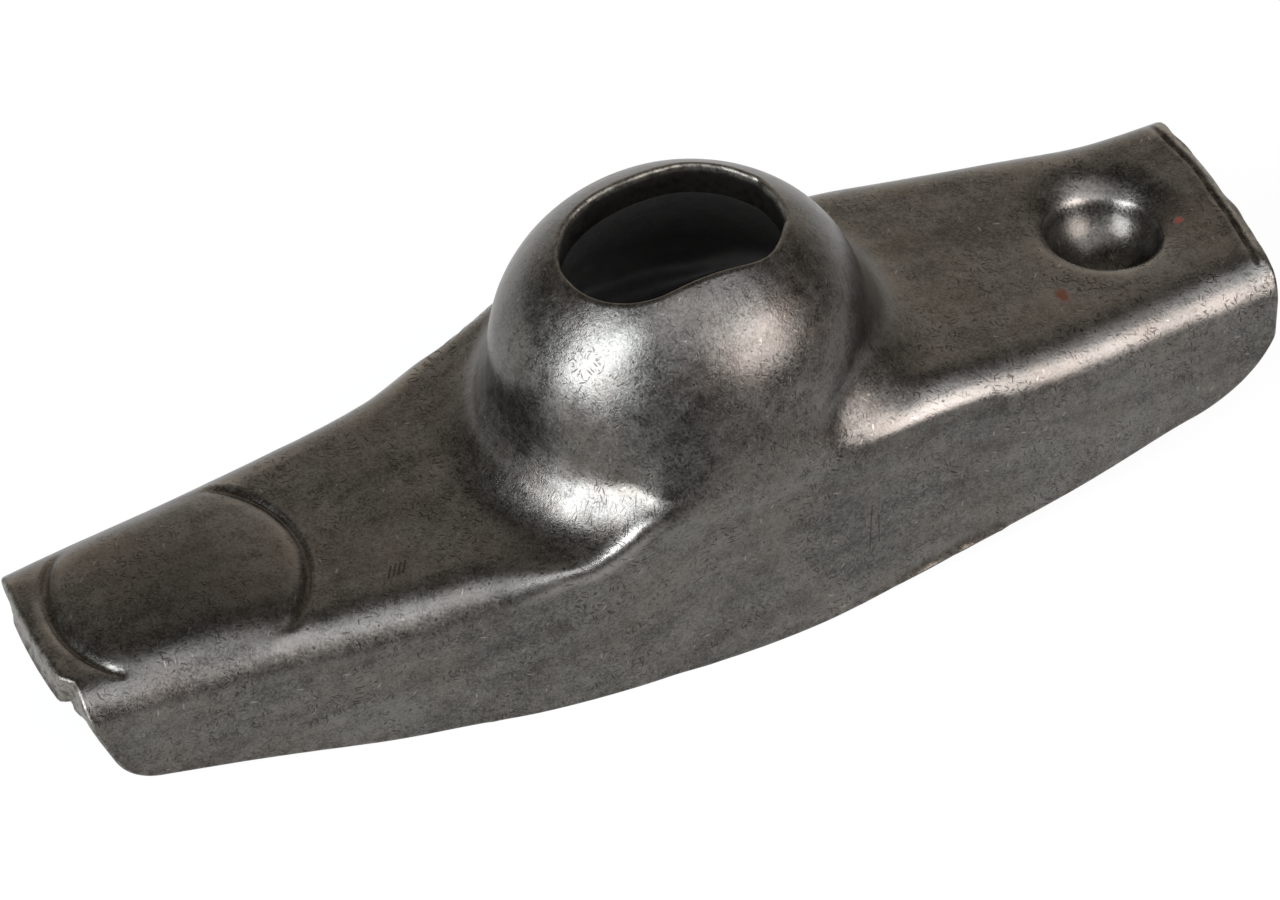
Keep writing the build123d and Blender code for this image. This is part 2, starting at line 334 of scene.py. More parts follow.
def dome_foot():
    """Plan of the oval where the mesh of the dome meets that of the arms."""
    angle = np.arange(FOOT_POINTS) * 2 * pi / FOOT_POINTS
    return np.stack([FOOT_LENGTH * np.cos(angle), FOOT_WIDTH * np.sin(angle)], 1)


def finer_lines(outline, foot):
    """Lines of points that the flat mesh keeps: beside edges, round the cup and pad, and along the lip."""
    lines = [moved_in(outline, inset) for inset in (0.16, 0.36, 0.62)]
    lines.append(moved_in(foot[::-1], 0.3))
    for radius in CUP_RINGS:
        lines.append(ring((CUP_X, 0), radius, FINE_SPACING))
    for radius in PAD_RINGS:
        circle = ring((PAD_X, 0), radius, FINE_SPACING)
        circle[:, 1] = flat_from_plan(circle[:, 0], np.clip(circle[:, 1], -7.6, 7.6))
        lines.append(circle[np.abs(circle[:, 1]) < half_width(circle[:, 0]) + 0.5])
    across = np.arange(-6.9, 6.95, 0.24)
    for offset in LIP_LINES:
        lip = bow(PUSHROD_REACH, PUSHROD_BOW, across) - end_line(across) + offset
        lines.append(np.stack([lip, across], 1))
    return lines


def lattice():
    """Even rows of points over the whole blank."""
    rows = []
    for number, w in enumerate(np.arange(-22, 22, SPACING * 0.866)):
        x = np.arange(-41, 36, SPACING) + (number % 2) * SPACING / 2
        rows.append(np.stack([x, np.full(len(x), w)], 1))
    return np.concatenate(rows)


def distances(points, places):
    """How far each point is from the nearest place."""
    tree = KDTree(len(places))
    for number, place in enumerate(places):
        tree.insert(place, number)
    tree.balance()
    return np.array([tree.find(point)[2] for point in points])


def arms_mesh():
    """Flat mesh of the blank round the dome: places, triangles, and which places are the outline and foot."""
    outline = blank_outline(EDGE)
    plan = dome_foot()
    foot = np.stack([plan[:, 0], flat_from_plan(plan[:, 0], plan[:, 1])], 1)

    def on_arms(points):
        return inside(outline, points) & ~inside(foot, points)

    lines = finer_lines(outline, foot)
    filling = lattice()
    filling = filling[on_arms(filling)]
    kept = np.concatenate([outline, foot] + lines)
    clear = distances(np.pad(filling, ((0, 0), (0, 1))), np.pad(kept, ((0, 0), (0, 1)))) > 0.7 * SPACING
    places = np.concatenate([outline, foot] + [line[on_arms(line)] for line in lines] + [filling[clear]])
    loops = []
    for start, size in ((0, len(outline)), (len(outline), len(foot))):
        loops += [(start + k, start + (k + 1) % size) for k in range(size)]
    verts, _, faces, _, _, _ = delaunay_2d_cdt([Vector(p) for p in places], loops, [], 1, 1e-7)
    verts = np.array([tuple(v) for v in verts])
    faces = np.array(faces)
    faces = faces[~inside(foot, verts[faces].mean(1))]
    a, b, c = verts[faces[:, 0]], verts[faces[:, 1]], verts[faces[:, 2]]
    turned = (b[:, 0] - a[:, 0]) * (c[:, 1] - a[:, 1]) - (b[:, 1] - a[:, 1]) * (c[:, 0] - a[:, 0]) < 0
    faces[turned] = faces[turned][:, ::-1]
    return verts, faces, np.arange(len(outline)), len(outline) + np.arange(len(foot))


def slot_plan():
    """Plan of the stud slot, a step inside its rounded edge, one point for each point of the dome's foot."""
    half = SLOT_LENGTH - SLOT_WIDTH
    radius = SLOT_WIDTH + EDGE
    plan = dome_foot()
    angle = np.arctan2(plan[:, 1] / FOOT_WIDTH, plan[:, 0] / FOOT_LENGTH)
    fine = np.linspace(0, 2 * pi, 1441)[:-1]
    corner_x = np.where(np.cos(fine) > 0, half, -half)
    loop = np.stack([corner_x + radius * np.cos(fine), radius * np.sin(fine)], 1)
    loop = respaced(np.concatenate([loop, loop[:1]]), 0.02)[:-1]
    loop_angle = np.mod(np.arctan2(loop[:, 1] / DOME[1], loop[:, 0] / DOME[0]), 2 * pi)
    order = np.argsort(loop_angle)
    pick = np.interp(np.mod(angle, 2 * pi), loop_angle[order], order)
    chosen = loop[np.round(pick).astype(int) % len(loop)]
    uneven = 1 + wobble(angle * 5, 2 * pi, 0.006, 21)
    for at, size, width in ((19, 0.03, 5), (-14, 0.028, 8), (63, 0.015, 9), (-49, 0.015, 10)):
        uneven += size * np.exp(-(((np.degrees(angle + pi) % 360 - 180 - at) / width) ** 2))
    return chosen * uneven[:, None] + [SLOT_OFFSET, 0]


def dome_rings(foot, inset):
    """Rings of points from the slot's edge over the dome to its foot."""
    fall = 10  # millimetres down the stem for each radian of tilt past the dome's middle
    a, b, c = DOME if inset == 0 else DOME - DOME_WALL
    plan = slot_plan()
    start_tilt = np.arcsin(np.clip(np.hypot(plan[:, 0] / a, plan[:, 1] / b), 0, 0.999))
    start_turn = np.arctan2(plan[:, 1] / b, plan[:, 0] / a)
    end_tilt = pi / 2 + np.maximum(-foot[:, 2], 0.3) / fall
    end_turn = np.arctan2(foot[:, 1] / b, foot[:, 0] / a)
    end_turn = start_turn + np.mod(end_turn - start_turn + pi, 2 * pi) - pi

    def place(tilt, turn):
        low = np.maximum(tilt - pi / 2, 0) * fall
        spread = np.sin(np.minimum(tilt, pi / 2))
        return np.stack([
            (a * spread + DOME_STEM * low) * np.cos(turn),
            (b * spread + DOME_STEM * low) * np.sin(turn),
            c * np.cos(np.minimum(tilt, pi / 2)) - low,
        ], 1)

    gap = foot - place(end_tilt, end_turn)
    rings = []
    for t in np.linspace(0, 1, DOME_RINGS + 1):
        at = place(start_tilt + (end_tilt - start_tilt) * t, start_turn + (end_turn - start_turn) * t)
        rings.append(at + gap * soft_step(np.array(t), 0.75, 1.0))
    return np.array(rings)


def neighbours(faces, count):
    """Pairs of linked points, both ways."""
    pairs = np.concatenate([faces[:, [0, 1]], faces[:, [1, 2]], faces[:, [2, 0]]])
    pairs = np.concatenate([pairs, pairs[:, ::-1]])
    return np.unique(pairs, axis=0)


def evened(points, pairs, held, inset, rounds):
    """Points spread evenly over the form's face, the held ones left where they are."""
    count = np.bincount(pairs[:, 0], minlength=len(points))[:, None]
    free = ~held[:, None]
    for _ in range(rounds):
        total = np.zeros_like(points)
        np.add.at(total, pairs[:, 0], points[pairs[:, 1]])
        points = points + free * 0.5 * (total / count - points)
        moved = drawn_on(points, inset, rounds=1)
        points = np.where(free, moved, points)
    return np.where(free, drawn_on(points, inset, rounds=4), points)


def point_normals(points, faces):
    """Which way is out of the face at each point."""
    corner = points[faces]
    face_normal = np.cross(corner[:, 1] - corner[:, 0], corner[:, 2] - corner[:, 0])
    total = np.zeros_like(points)
    for k in range(3):
        np.add.at(total, faces[:, k], face_normal)
    return total / np.linalg.norm(total, axis=1)[:, None]


def joined_face(inset):
    """One face of the sheet: points, triangles, their laid-flat corners in mm, outline loop and slot loop."""
    verts, faces, outline, foot = arms_mesh()
    points = formed(verts[:, 0], verts[:, 1], inset)
    rings = dome_rings(points[foot], inset)
    held = np.zeros(len(points), bool)
    held[outline] = True
    size = len(foot)
    start = len(points)
    points = np.concatenate([points, rings[:-1].reshape(-1, 3)])
    index = np.concatenate([start + np.arange(len(rings) - 1)[:, None] * size + np.arange(size), foot[None]])
    a, b = index[:-1], index[1:]
    c, d = np.roll(a, -1, 1), np.roll(b, -1, 1)
    dome = np.concatenate([np.stack([a, b, c], -1).reshape(-1, 3), np.stack([c, b, d], -1).reshape(-1, 3)])
    faces = np.concatenate([faces, dome])
    near = np.hypot(points[:, 0] / 17, points[:, 1] / 30) < 1  # round the dome, where the fold alone won't do
    held = np.concatenate([held, np.zeros(len(points) - start, bool)]) | ~near
    held[index[0]] = True
    points[~held] = drawn_on(points[~held], inset)
    points = evened(points, neighbours(faces, len(points)), held, inset, EVENING_ROUNDS)
    flat = flat_corners(verts, points, faces, len(faces) - len(dome))
    return points, faces, flat, outline, index[0]


def flat_corners(verts, points, faces, arms):
    """Where the triangles' corners lie when laid flat; the first so many triangles are the arms'."""
    tilt = np.arctan2(np.hypot(points[:, 0], points[:, 1]), points[:, 2]) * DOME_UNROLL
    turn = np.arctan2(points[:, 1], points[:, 0])
    on_dome = np.stack([DOME_FLAT + tilt * np.cos(turn), tilt * np.sin(turn)], 1)
    on_arms = np.concatenate([verts, on_dome[len(verts) :]])
    return np.where(np.arange(len(faces))[:, None, None] < arms, on_arms[faces], on_dome[faces])


def wobble(along, size, height, seed):
    """Uneven swing along a line, with bumps about a size long."""
    rng = np.random.default_rng(seed)
    total = np.zeros_like(along, dtype=float)
    for wave, phase in zip(size * rng.uniform(0.6, 2.2, 9), rng.uniform(0, 2 * pi, 9)):
        total += np.sin(2 * pi * along / wave + phase)
    return total * height / 3


# ---------------------------------------------------------------- what is coined and struck into the faces
def cup_depth(x, y):
    """Depth of the pushrod's ball cup and of the dish drawn down round it, deepest at the back."""
    radius = np.hypot(x, y)
    back = (0.45 * x + 0.89 * y) / np.maximum(radius, 0.01)
    ball = np.sqrt(np.maximum(CUP_BALL**2 - radius**2, 0)) + DISH_DEPTH - np.sqrt(CUP_BALL**2 - CUP_RIM**2)
    reach = DISH - 0.8 + 0.6 * back
    steep = np.clip((reach - radius) / (reach - CUP_RIM), 0, 1) ** 2.2
    dish = DISH_DEPTH * (0.66 + 0.34 * back) * steep
    return np.where(radius < CUP_BALL, np.maximum(ball, dish), dish)


def end_line(y):
    """How far in from the pushrod end the rolled-over lip starts."""
    return LIP + wobble(y, 6, 0.08, 3)


def pad_rise(x, y):
    """How high the valve pad stands: its crown and the step at its rim, less the groove round it."""
    away = np.hypot(x - PAD_X, y)
    round_fold = soft_step((np.abs(y) - half_width(x) + FOLD) / FOLD, 0.0, 0.75)
    crown = PAD_CROWN * np.maximum(1 - (away / PAD_RADIUS) ** 2, 0) * (1 - soft_step(np.abs(y), 3.6, 6.6))
    step = PAD_STEP * soft_step(PAD_RADIUS + 0.05 - away, 0, 1.4) * (1 - soft_step(np.abs(y), 3.8, 6.2))
    width = np.where(away < PAD_RADIUS, 0.32, 0.2)  # the groove is steeper on its outer side
    groove = PAD_GROOVE * np.exp(-(((away - PAD_RADIUS) / width) ** 2))
    groove *= 1 - soft_step(round_fold, 0.1, 0.7)
    return (crown + step - groove) * (x < -20)


def end_fall(x, y):
    """How far the pushrod end falls: the rolled-over edge and its crease, less the low ridges beside it."""
    from_end = bow(PUSHROD_REACH, PUSHROD_BOW, y) - x
    line = end_line(y)
    roll = ROLL * np.maximum(1 - from_end / line, 0) ** 1.3
    crease = (0.16 + wobble(y + 40, 2.3, 0.04, 5)) * np.exp(-(((from_end - line) / 0.1) ** 2))
    ridges = 0.09 * np.exp(-(((from_end - line + 0.3) / 0.16) ** 2))
    ridges += 0.04 * np.exp(-(((from_end - line - 0.3) / 0.2) ** 2))
    return (roll + crease - ridges) * (x > 30) * (1 - soft_step(np.abs(y), 5.2, 6.8))


def outer_relief(points):
    """How far the struck and coined shapes lift the outer face."""
    x, y, z = points.T
    on_web = z > web_height(x) - 3.2
    return np.where(on_web, -cup_depth(x - CUP_X, y) + pad_rise(x, y) - end_fall(x, y), 0)


def inner_relief(points):
    """How far the struck shapes push the inner face down."""
    x, y, z = points.T
    on_web = z > web_height(x) - SHEET - 1.2
    radius = np.hypot(x - CUP_X, y)
    ball = np.sqrt(np.maximum((CUP_BALL + CUP_WALL) ** 2 - radius**2, 0)) - BULGE_CENTRE - SHEET
    bulge = 0.5 * (ball + np.sqrt(ball**2 + 0.25)) - 0.12
    bulge = np.where(radius < 8, bulge, 0) * (1 - soft_step(radius, 4.8, 7.0))
    print_through = 0.1 * (1 - soft_step(np.hypot(x - PAD_X, y), 5.5, 7.6))
    return np.where(on_web, bulge + print_through, 0)


# ---------------------------------------------------------------- the sheared edges
def edge_rows(outer, inner, loop, toward, seed):
    """Rows of points from the outer face round a sheared edge to the inner face."""
    top, bottom = outer[loop], inner[loop]
    depth = np.linalg.norm(bottom - top, axis=1)[:, None]
    down = (bottom - top) / depth
    along = np.arange(len(loop)) * EDGE_SPACING
    rough = np.random.default_rng(seed)
    rows = []
    for angle in (pi / 6, pi / 3, pi / 2):
        rows.append(top + toward * EDGE * sin(angle) + down * EDGE * (1 - cos(angle)))
    for part in (0.24, 0.36, 0.48, 0.6, 0.72, 0.84):
        torn = soft_step(np.array(part), 0.3, 0.55)
        swing = np.abs(wobble(along + part * 3, 1.1, 0.07, seed))
        dip = torn * (0.05 + swing + rough.uniform(0, 0.05, len(loop)))
        rows.append(top + toward * (EDGE - dip)[:, None] + down * depth * part)
    for angle in (pi / 2, pi / 3, pi / 6):
        rounding = EDGE * INNER_SHARE
        rows.append(bottom + toward * rounding * sin(angle) - down * rounding * (1 - cos(angle)))
    return np.array(rows)


def edge_strip(first, rows_start, count, size, last, flipped):
    """Quads from a loop of the outer face over the edge rows to the inner face's, and their flat corners."""
    grid = [first] + [rows_start + k * size + np.arange(size) for k in range(count)] + [last]
    quads, flat = [], []
    near = np.arange(size) * EDGE_SPACING
    far = near + EDGE_SPACING
    for row, (a, b) in enumerate(zip(grid, grid[1:])):
        quads.append(np.stack([a, np.roll(a, -1), np.roll(b, -1), b], 1))
        top = np.full(size, EDGES_FLAT + row * EDGE_ROW)
        low = top + EDGE_ROW
        corners = [(near, top), (far, top), (far, low), (near, low)]
        flat.append(np.stack([np.stack(corner, 1) for corner in corners], 1))
    quads, flat = np.concatenate(quads), np.concatenate(flat)
    return (quads[:, ::-1], flat[:, ::-1]) if flipped else (quads, flat)


def outward(points, normals, loop, sheet_on_left):
    """Directions out of the sheet's edge along a loop."""
    tangent = points[np.roll(loop, -1)] - points[np.roll(loop, 1)]
    across = np.cross(tangent, normals[loop])
    if not sheet_on_left:
        across = -across
        across[:, 2] = 0
    return across / np.linalg.norm(across, axis=1)[:, None]


def roundness(points, faces, normals):
    """Mean curvature, positive where the face bulges outwards."""
    pairs = neighbours(faces, len(points))
    count = np.bincount(pairs[:, 0], minlength=len(points))
    total = np.zeros_like(points)
    np.add.at(total, pairs[:, 0], points[pairs[:, 1]])
    length = np.zeros(len(points))
    np.add.at(length, pairs[:, 0], ((points[pairs[:, 1]] - points[pairs[:, 0]]) ** 2).sum(1))
    bend = -((total / count[:, None] - points) * normals).sum(1) * 4 / (length / count)
    for _ in range(6):
        spread = np.zeros(len(points))
        np.add.at(spread, pairs[:, 0], bend[pairs[:, 1]])
        bend = 0.5 * bend + 0.5 * spread / count
    return bend / 2


def lay_marks(mesh, laid_flat, marks):
    """Gives a mesh its laid-flat map and its marks, each in parts that follow one another."""
    corners = np.concatenate([part.ravel() for part in laid_flat]).astype(np.float32)
    mesh.uv_layers.new(name="laid_flat").data.foreach_set("uv", corners)
    for name, parts in marks.items():
        values = np.concatenate(parts).astype(np.float32)
        mesh.attributes.new(name, "FLOAT", "POINT").data.foreach_set("value", values)
    mesh.update()


def pressed_arm():
    """The whole pressing as one closed mesh, its edges and bends marked for the finish, its inner face and
    slot walls marked for painted shade.
    """
    outer, faces, flat, outline, slot = joined_face(0.0)
    inner = joined_face(SHEET)[0]
    outer_normal = point_normals(outer, faces)
    inner_normal = point_normals(inner, faces)
    outer = outer + outer_normal * outer_relief(outer)[:, None]
    inner = inner - inner_normal * inner_relief(inner)[:, None]
    outer_normal = point_normals(outer, faces)
    rim_rows = edge_rows(outer, inner, outline, outward(outer, outer_normal, outline, True), 11)
    slot_rows = edge_rows(outer, inner, slot, outward(outer, outer_normal, slot, False), 12)
    count = len(outer)
    rim_start = 2 * count
    slot_start = rim_start + rim_rows.shape[0] * len(outline)
    points = np.concatenate([outer, inner, rim_rows.reshape(-1, 3), slot_rows.reshape(-1, 3)])
    rim, rim_flat = edge_strip(outline, rim_start, rim_rows.shape[0], len(outline), count + outline, True)
    hole, hole_flat = edge_strip(slot, slot_start, slot_rows.shape[0], len(slot), count + slot, False)
    polygons = faces.tolist() + (faces[:, ::-1] + count).tolist() + rim.tolist() + hole.tolist()
    mesh = bpy.data.meshes.new("rocker_arm")
    mesh.from_pydata((points * MM).tolist(), [], polygons)
    mesh.polygons.foreach_set("use_smooth", [True] * len(polygons))

    none, edges = np.zeros(count), len(points) - 2 * count
    outer_bend = roundness(outer, faces, outer_normal)
    inner_bend = -roundness(inner, faces, inner_normal)
    down_slot = np.repeat(np.linspace(0, 1, slot_rows.shape[0]), len(slot))
    lay_marks(mesh, [flat, flat[:, ::-1] + INNER_FLAT, rim_flat, hole_flat], {
        "bend": [outer_bend, inner_bend, np.zeros(edges)],
        "cut": [none, none, np.ones(edges)],
        # The inner face, and the slot's walls more deeply further down, are marked for near-black painted
        # shade.
        "inside_shade": [none, np.ones(count), np.zeros(rim_rows.size // 3), soft_step(down_slot, 0.05, 0.3)],
        "near_rim": [np.exp(-distances(outer, outer[outline]) / 0.45), none, np.ones(edges)],
    })
    arm = bpy.data.objects.new("rocker_arm", mesh)
    bpy.context.scene.collection.objects.link(arm)
    return arm


# ---------------------------------------------------------------- nodes
def add_node(tree, kind, inputs=None, **settings):
    """One node with its settings; an input is a value or an output to link."""
    node = tree.nodes.new(kind)
    for name, value in settings.items():
        setattr(node, name, value)
    for name, value in (inputs or {}).items():
        if isinstance(value, bpy.types.NodeSocket):
            tree.links.new(value, node.inputs[name])
        else:
            node.inputs[name].default_value = value
    return node


def combine(tree, kind, a, b):
    return add_node(tree, "ShaderNodeMath", {0: a, 1: b}, operation=kind).outputs[0]


def vectors(tree, kind, a, b, output=0):
    return add_node(tree, "ShaderNodeVectorMath", {0: a, 1: b}, operation=kind).outputs[output]


def scaled(tree, vector, scale):
    return add_node(tree, "ShaderNodeVectorMath", {0: vector, "Scale": scale}, operation="SCALE").outputs[0]


def ramp(tree, value, low, high, to_low=0.0, to_high=1.0, **settings):
    """A value carried over from one range to another and held at its ends."""
    ends = {"From Min": low, "From Max": high, "To Min": to_low, "To Max": to_high}
    return add_node(tree, "ShaderNodeMapRange", {"Value": value, **ends}, **settings).outputs[0]


def most(tree, values):
    """The largest of some values."""
    total = values[0]
    for value in values[1:]:
        total = combine(tree, "MAXIMUM", total, value)
    return total


def mixed(tree, share, a, b):
    return add_node(tree, "ShaderNodeMix", {0: share, 6: a, 7: b}, data_type="RGBA").outputs[2]


def noise(tree, place, size, detail, roughness, offset=0.0):
    """Noise whose blotches are about a size across."""
    inputs = {"Vector": place, "W": offset, "Scale": 1 / size, "Detail": detail, "Roughness": roughness}
    return add_node(tree, "ShaderNodeTexNoise", inputs, noise_dimensions="4D").outputs[0]


def linear(hex_colour):
    """sRGB hex colour as linear RGBA."""
    values = [int(hex_colour[i : i + 2], 16) / 255 for i in (0, 2, 4)]
    return [v / 12.92 if v <= 0.04045 else ((v + 0.055) / 1.055) ** 2.4 for v in values] + [1.0]


# ---------------------------------------------------------------- uneven face left by pressing and use
def uneven_face(arm, finish, wave_height, wave_size, ripple_height, ripple_size, seed):
    """Lets the drawn sheet wave a little, as a pressing does, and gives it its finish."""
    tree = bpy.data.node_groups.new("uneven_pressing", "GeometryNodeTree")
    tree.interface.new_socket("Geometry", in_out="INPUT", socket_type="NodeSocketGeometry")
    sizes = {
        "Wave Height": wave_height, "Wave Size": wave_size,
        "Ripple Height": ripple_height, "Ripple Size": ripple_size, "Seed": float(seed),
    }
    for name in sizes:
        tree.interface.new_socket(name, in_out="INPUT", socket_type="NodeSocketFloat")
    tree.interface.new_socket("Finish", in_out="INPUT", socket_type="NodeSocketMaterial")
    tree.interface.new_socket("Geometry", in_out="OUTPUT", socket_type="NodeSocketGeometry")
    given = add_node(tree, "NodeGroupInput").outputs
    place = add_node(tree, "GeometryNodeInputPosition").outputs[0]
    normal = add_node(tree, "GeometryNodeInputNormal").outputs[0]
    lifts = []
    for layer in ("Wave", "Ripple"):
        scale = combine(tree, "DIVIDE", 1.0, given[layer + " Size"])
        inputs = {"Vector": place, "W": given["Seed"], "Scale": scale, "Detail": 1.0}
        uneven = add_node(tree, "ShaderNodeTexNoise", inputs, noise_dimensions="4D").outputs[0]
        centred = combine(tree, "SUBTRACT", uneven, 0.5)
        lifts.append(combine(tree, "MULTIPLY", centred, given[layer + " Height"]))
    inwards = combine(tree, "MINIMUM", combine(tree, "ADD", *lifts), 0.0)
    shape = given["Geometry"]
    for kind, inputs in (
        ("GeometryNodeSetPosition", {"Offset": scaled(tree, normal, inwards)}),
        ("GeometryNodeRealizeInstances", {}),
        ("GeometryNodeSetMaterial", {"Material": given["Finish"]}),
    ):
        shape = add_node(tree, kind, {"Geometry": shape, **inputs}).outputs[0]
    add_node(tree, "NodeGroupOutput", {"Geometry": shape})
    press = arm.modifiers.new("uneven_pressing", "NODES")
    press.node_group = tree
    named = {item.name: item.identifier for item in tree.interface.items_tree if item.in_out == "INPUT"}
    for name, value in sizes.items():
        press[named[name]] = value
    press[named["Finish"]] = finish
    bpy.context.view_layer.update()
    shaped = bpy.data.meshes.new_from_object(arm.evaluated_get(bpy.context.evaluated_depsgraph_get()))
    arm.modifiers.remove(press)
    arm.data = shaped
    shaped.name = "rocker_arm"


# ---------------------------------------------------------------- finish
# What is mixed over the plain steel's colour, in this order: the mark, how much it covers and its colour.
COATS = [
    # The hollow colour darkens the face where it curves inwards.
    ("tarnish", 1.0, "69605A"), ("rubbed", 0.5, "96938E"), ("hollow", 0.55, "3A342C"),
    ("cut", 0.45, "8E8A81"), ("bright", 0.4, "A9A49B"), ("pits", 0.7, "2C2823"),
    ("nicks", 0.76, "2B2724"), ("dirt", 0.7, "2B2621"), ("struck", 0.7, "2A2622"),
    # Of these, the near-black is painted shade over the inner face and down the slot's walls, and the dark
    # grey-brown after it is a painted dark reflection across the valve pad.
    ("inside_shade", 0.97, "0D0B0A"), ("pad_dark_reflection", 1.0, "2E2A26"), ("rust", 1.0, "44200A"), ("red", 0.85, "6E2019"),
]


def strokes(tree, flat, turn, spacing, thin, share, width):
    """Separate short nicks: each lies in a cell of the flat sheet, spacing long and thin wide, in mm."""
    cells = {"Vector": flat, "Rotation": (0, 0, turn), "Scale": (spacing, thin, 1)}
    turned = add_node(tree, "ShaderNodeMapping", cells, vector_type="TEXTURE").outputs[0]
    cell = add_node(tree, "ShaderNodeTexVoronoi", {"Vector": turned, "Scale": 1.0}, voronoi_dimensions="2D")
    chance = add_node(tree, "ShaderNodeSeparateColor", {0: cell.outputs["Color"]}).outputs[0]
    reach = ramp(tree, chance, 1 - share, 1.0, 0.0, width)
    return ramp(tree, combine(tree, "SUBTRACT", reach, cell.outputs["Distance"]), -0.05, 0.05)


def scratch(tree, flat, start, end, width):
    """One scratch between two places of the flat sheet, in mm."""
    along = Vector((end[0] - start[0], end[1] - start[1], 0))
    from_start = vectors(tree, "SUBTRACT", flat, (*start, 0))
    part = vectors(tree, "DOT_PRODUCT", from_start, along / along.length_squared, "Value")
    part = add_node(tree, "ShaderNodeClamp", {0: part}).outputs[0]
    gap = vectors(tree, "DISTANCE", from_start, scaled(tree, along, part), "Value")
    return ramp(tree, gap, width * 0.4, width, 1.0, 0.0)


def far_from(tree, flat, centre):
    """Distance from a place of the flat sheet, in mm."""
    return vectors(tree, "DISTANCE", flat, (*centre, 0), "Value")


def spot(tree, flat, mottle, centre, size):
    """Ragged stain round a place of the flat sheet, in mm."""
    edge = ramp(tree, mottle, 0.3, 0.7, -size * 0.5, size * 0.5)
    ragged = combine(tree, "ADD", far_from(tree, flat, centre), edge)
    return ramp(tree, ragged, size * 0.5, size * 1.1, 1.0, 0.0)


def nicks_and_scratches(tree, mm, flat, mottle):
    """What years of handling have cut into the steel."""
    nicks = [
        strokes(tree, flat, turn, 1.0 + 0.09 * k, 0.25, 0.42, 0.2)
        for k, turn in enumerate((0.35, 1.3, 2.3, -0.6, 1.75, 2.9))
    ]
    thick = ramp(tree, noise(tree, mm, 2.6, 2, 0.5, 9.0), 0.42, 0.58, 0.2, 1.0)
    bright = [strokes(tree, flat, turn, 1.3, 0.3, 0.03, 0.17) for turn in (0.9, -0.35, 1.5)]
    pits = strokes(tree, flat, 0.4, 0.5, 0.42, 0.3, 0.2)
    hatch = [
        scratch(tree, flat, (-20.6 + 0.3 * k, -5.3), (-20.1 + 0.3 * k, -4.5), 0.07) for k in range(4)
    ]
    long = scratch(tree, flat, (7.25, -18.9), (7.35, -15.4), 0.07)
    short = scratch(tree, flat, (7.9, -18.6), (7.8, -16.2), 0.06)
    return {
        "nicks": combine(tree, "MULTIPLY", most(tree, nicks), thick),
        "bright": most(tree, bright),
        "pits": combine(tree, "MULTIPLY", pits, ramp(tree, mottle, 0.42, 0.55)),
        "struck": most(tree, [long, short, most(tree, hatch)]),
    }


def steel_marks(tree):
    """All that is uneven in the finish, by name."""
    place = add_node(tree, "ShaderNodeTexCoord").outputs["Object"]
    mm = scaled(tree, place, 1000.0)
    flat = add_node(tree, "ShaderNodeUVMap", uv_map="laid_flat").outputs[0]
    bend, cut, inside_shade, near_rim = (
        add_node(tree, "ShaderNodeAttribute", attribute_name=name).outputs["Fac"]
        for name in ("bend", "cut", "inside_shade", "near_rim")
    )
    mottle = noise(tree, mm, 0.9, 4, 0.62, 3.0)  # blotches about 1 mm
    drawn = vectors(tree, "MULTIPLY", flat, (0.07, 0.6, 0))  # streaks run along the arm
    streaks = add_node(tree, "ShaderNodeTexNoise", {"Vector": drawn, "Scale": 1.0, "Detail": 3.0}).outputs[0]
    grime = ramp(tree, noise(tree, mm, 0.7, 4, 0.7, 14.0), 0.46, 0.6)
    return {
        "cut": cut,
        # painted shade for the inner face and the slot's walls
        "inside_shade": inside_shade,
        "mottle": mottle,
        "streaks": streaks,
        "clouds": noise(tree, mm, 6.0, 3, 0.55),  # stains some 6 mm across
        "grain": noise(tree, mm, 0.13, 2, 0.6, 5.0),  # barrelling grain, drawn as coarse as it needs to show
        "tarnish": ramp(tree, noise(tree, mm, 4.0, 3, 0.6, 12.0), 0.45, 0.75, 0.0, 0.5),
        "rubbed": ramp(tree, bend, 0.12, 0.34),
        "hollow": ramp(tree, bend, -0.06, -0.4),
        "dirt": combine(tree, "MULTIPLY", near_rim, grime),
        # Painted dark reflection across the valve pad's middle, standing in for the dark band its crown
        # mirrors.
        "pad_dark_reflection": ramp(tree, far_from(tree, flat, (-30.6, -1.2)), 2.0, 7.4, 0.4, 0.0),
        "rust": spot(tree, flat, mottle, (22.35, -4.36), 0.6),
        "red": spot(tree, flat, mottle, (31.57, -1.27), 0.32),
        **nicks_and_scratches(tree, mm, flat, mottle),
    }


def steel_colour(tree, marks):
    tone = ramp(tree, marks["clouds"], 0.3, 0.7, -0.25, 0.25)
    for name, low, high in (("mottle", 0.2, 0.8), ("streaks", -0.22, 0.22), ("grain", -0.5, 0.5)):
        tone = combine(tree, "ADD", tone, ramp(tree, marks[name], 0.3, 0.7, low, high))
    colour = mixed(tree, tone, linear("42403D"), linear("6B6965"))
    for name, cover, shade in COATS:
        colour = mixed(tree, combine(tree, "MULTIPLY", marks[name], cover), colour, linear(shade))
    return colour


def steel_roughness(tree, marks):
    mottled = ramp(tree, marks["mottle"], 0.3, 0.7, 0.27, 0.36)
    rough = combine(tree, "ADD", mottled, ramp(tree, marks["grain"], 0.3, 0.7, -0.03, 0.06))
    rough = combine(tree, "ADD", rough, combine(tree, "MULTIPLY", marks["rubbed"], -0.04))
    cut = combine(tree, "MULTIPLY", marks["cut"], 0.12)
    inside_shade = combine(tree, "MULTIPLY", marks["inside_shade"], 0.36)
    return combine(tree, "ADD", rough, combine(tree, "ADD", cut, inside_shade))


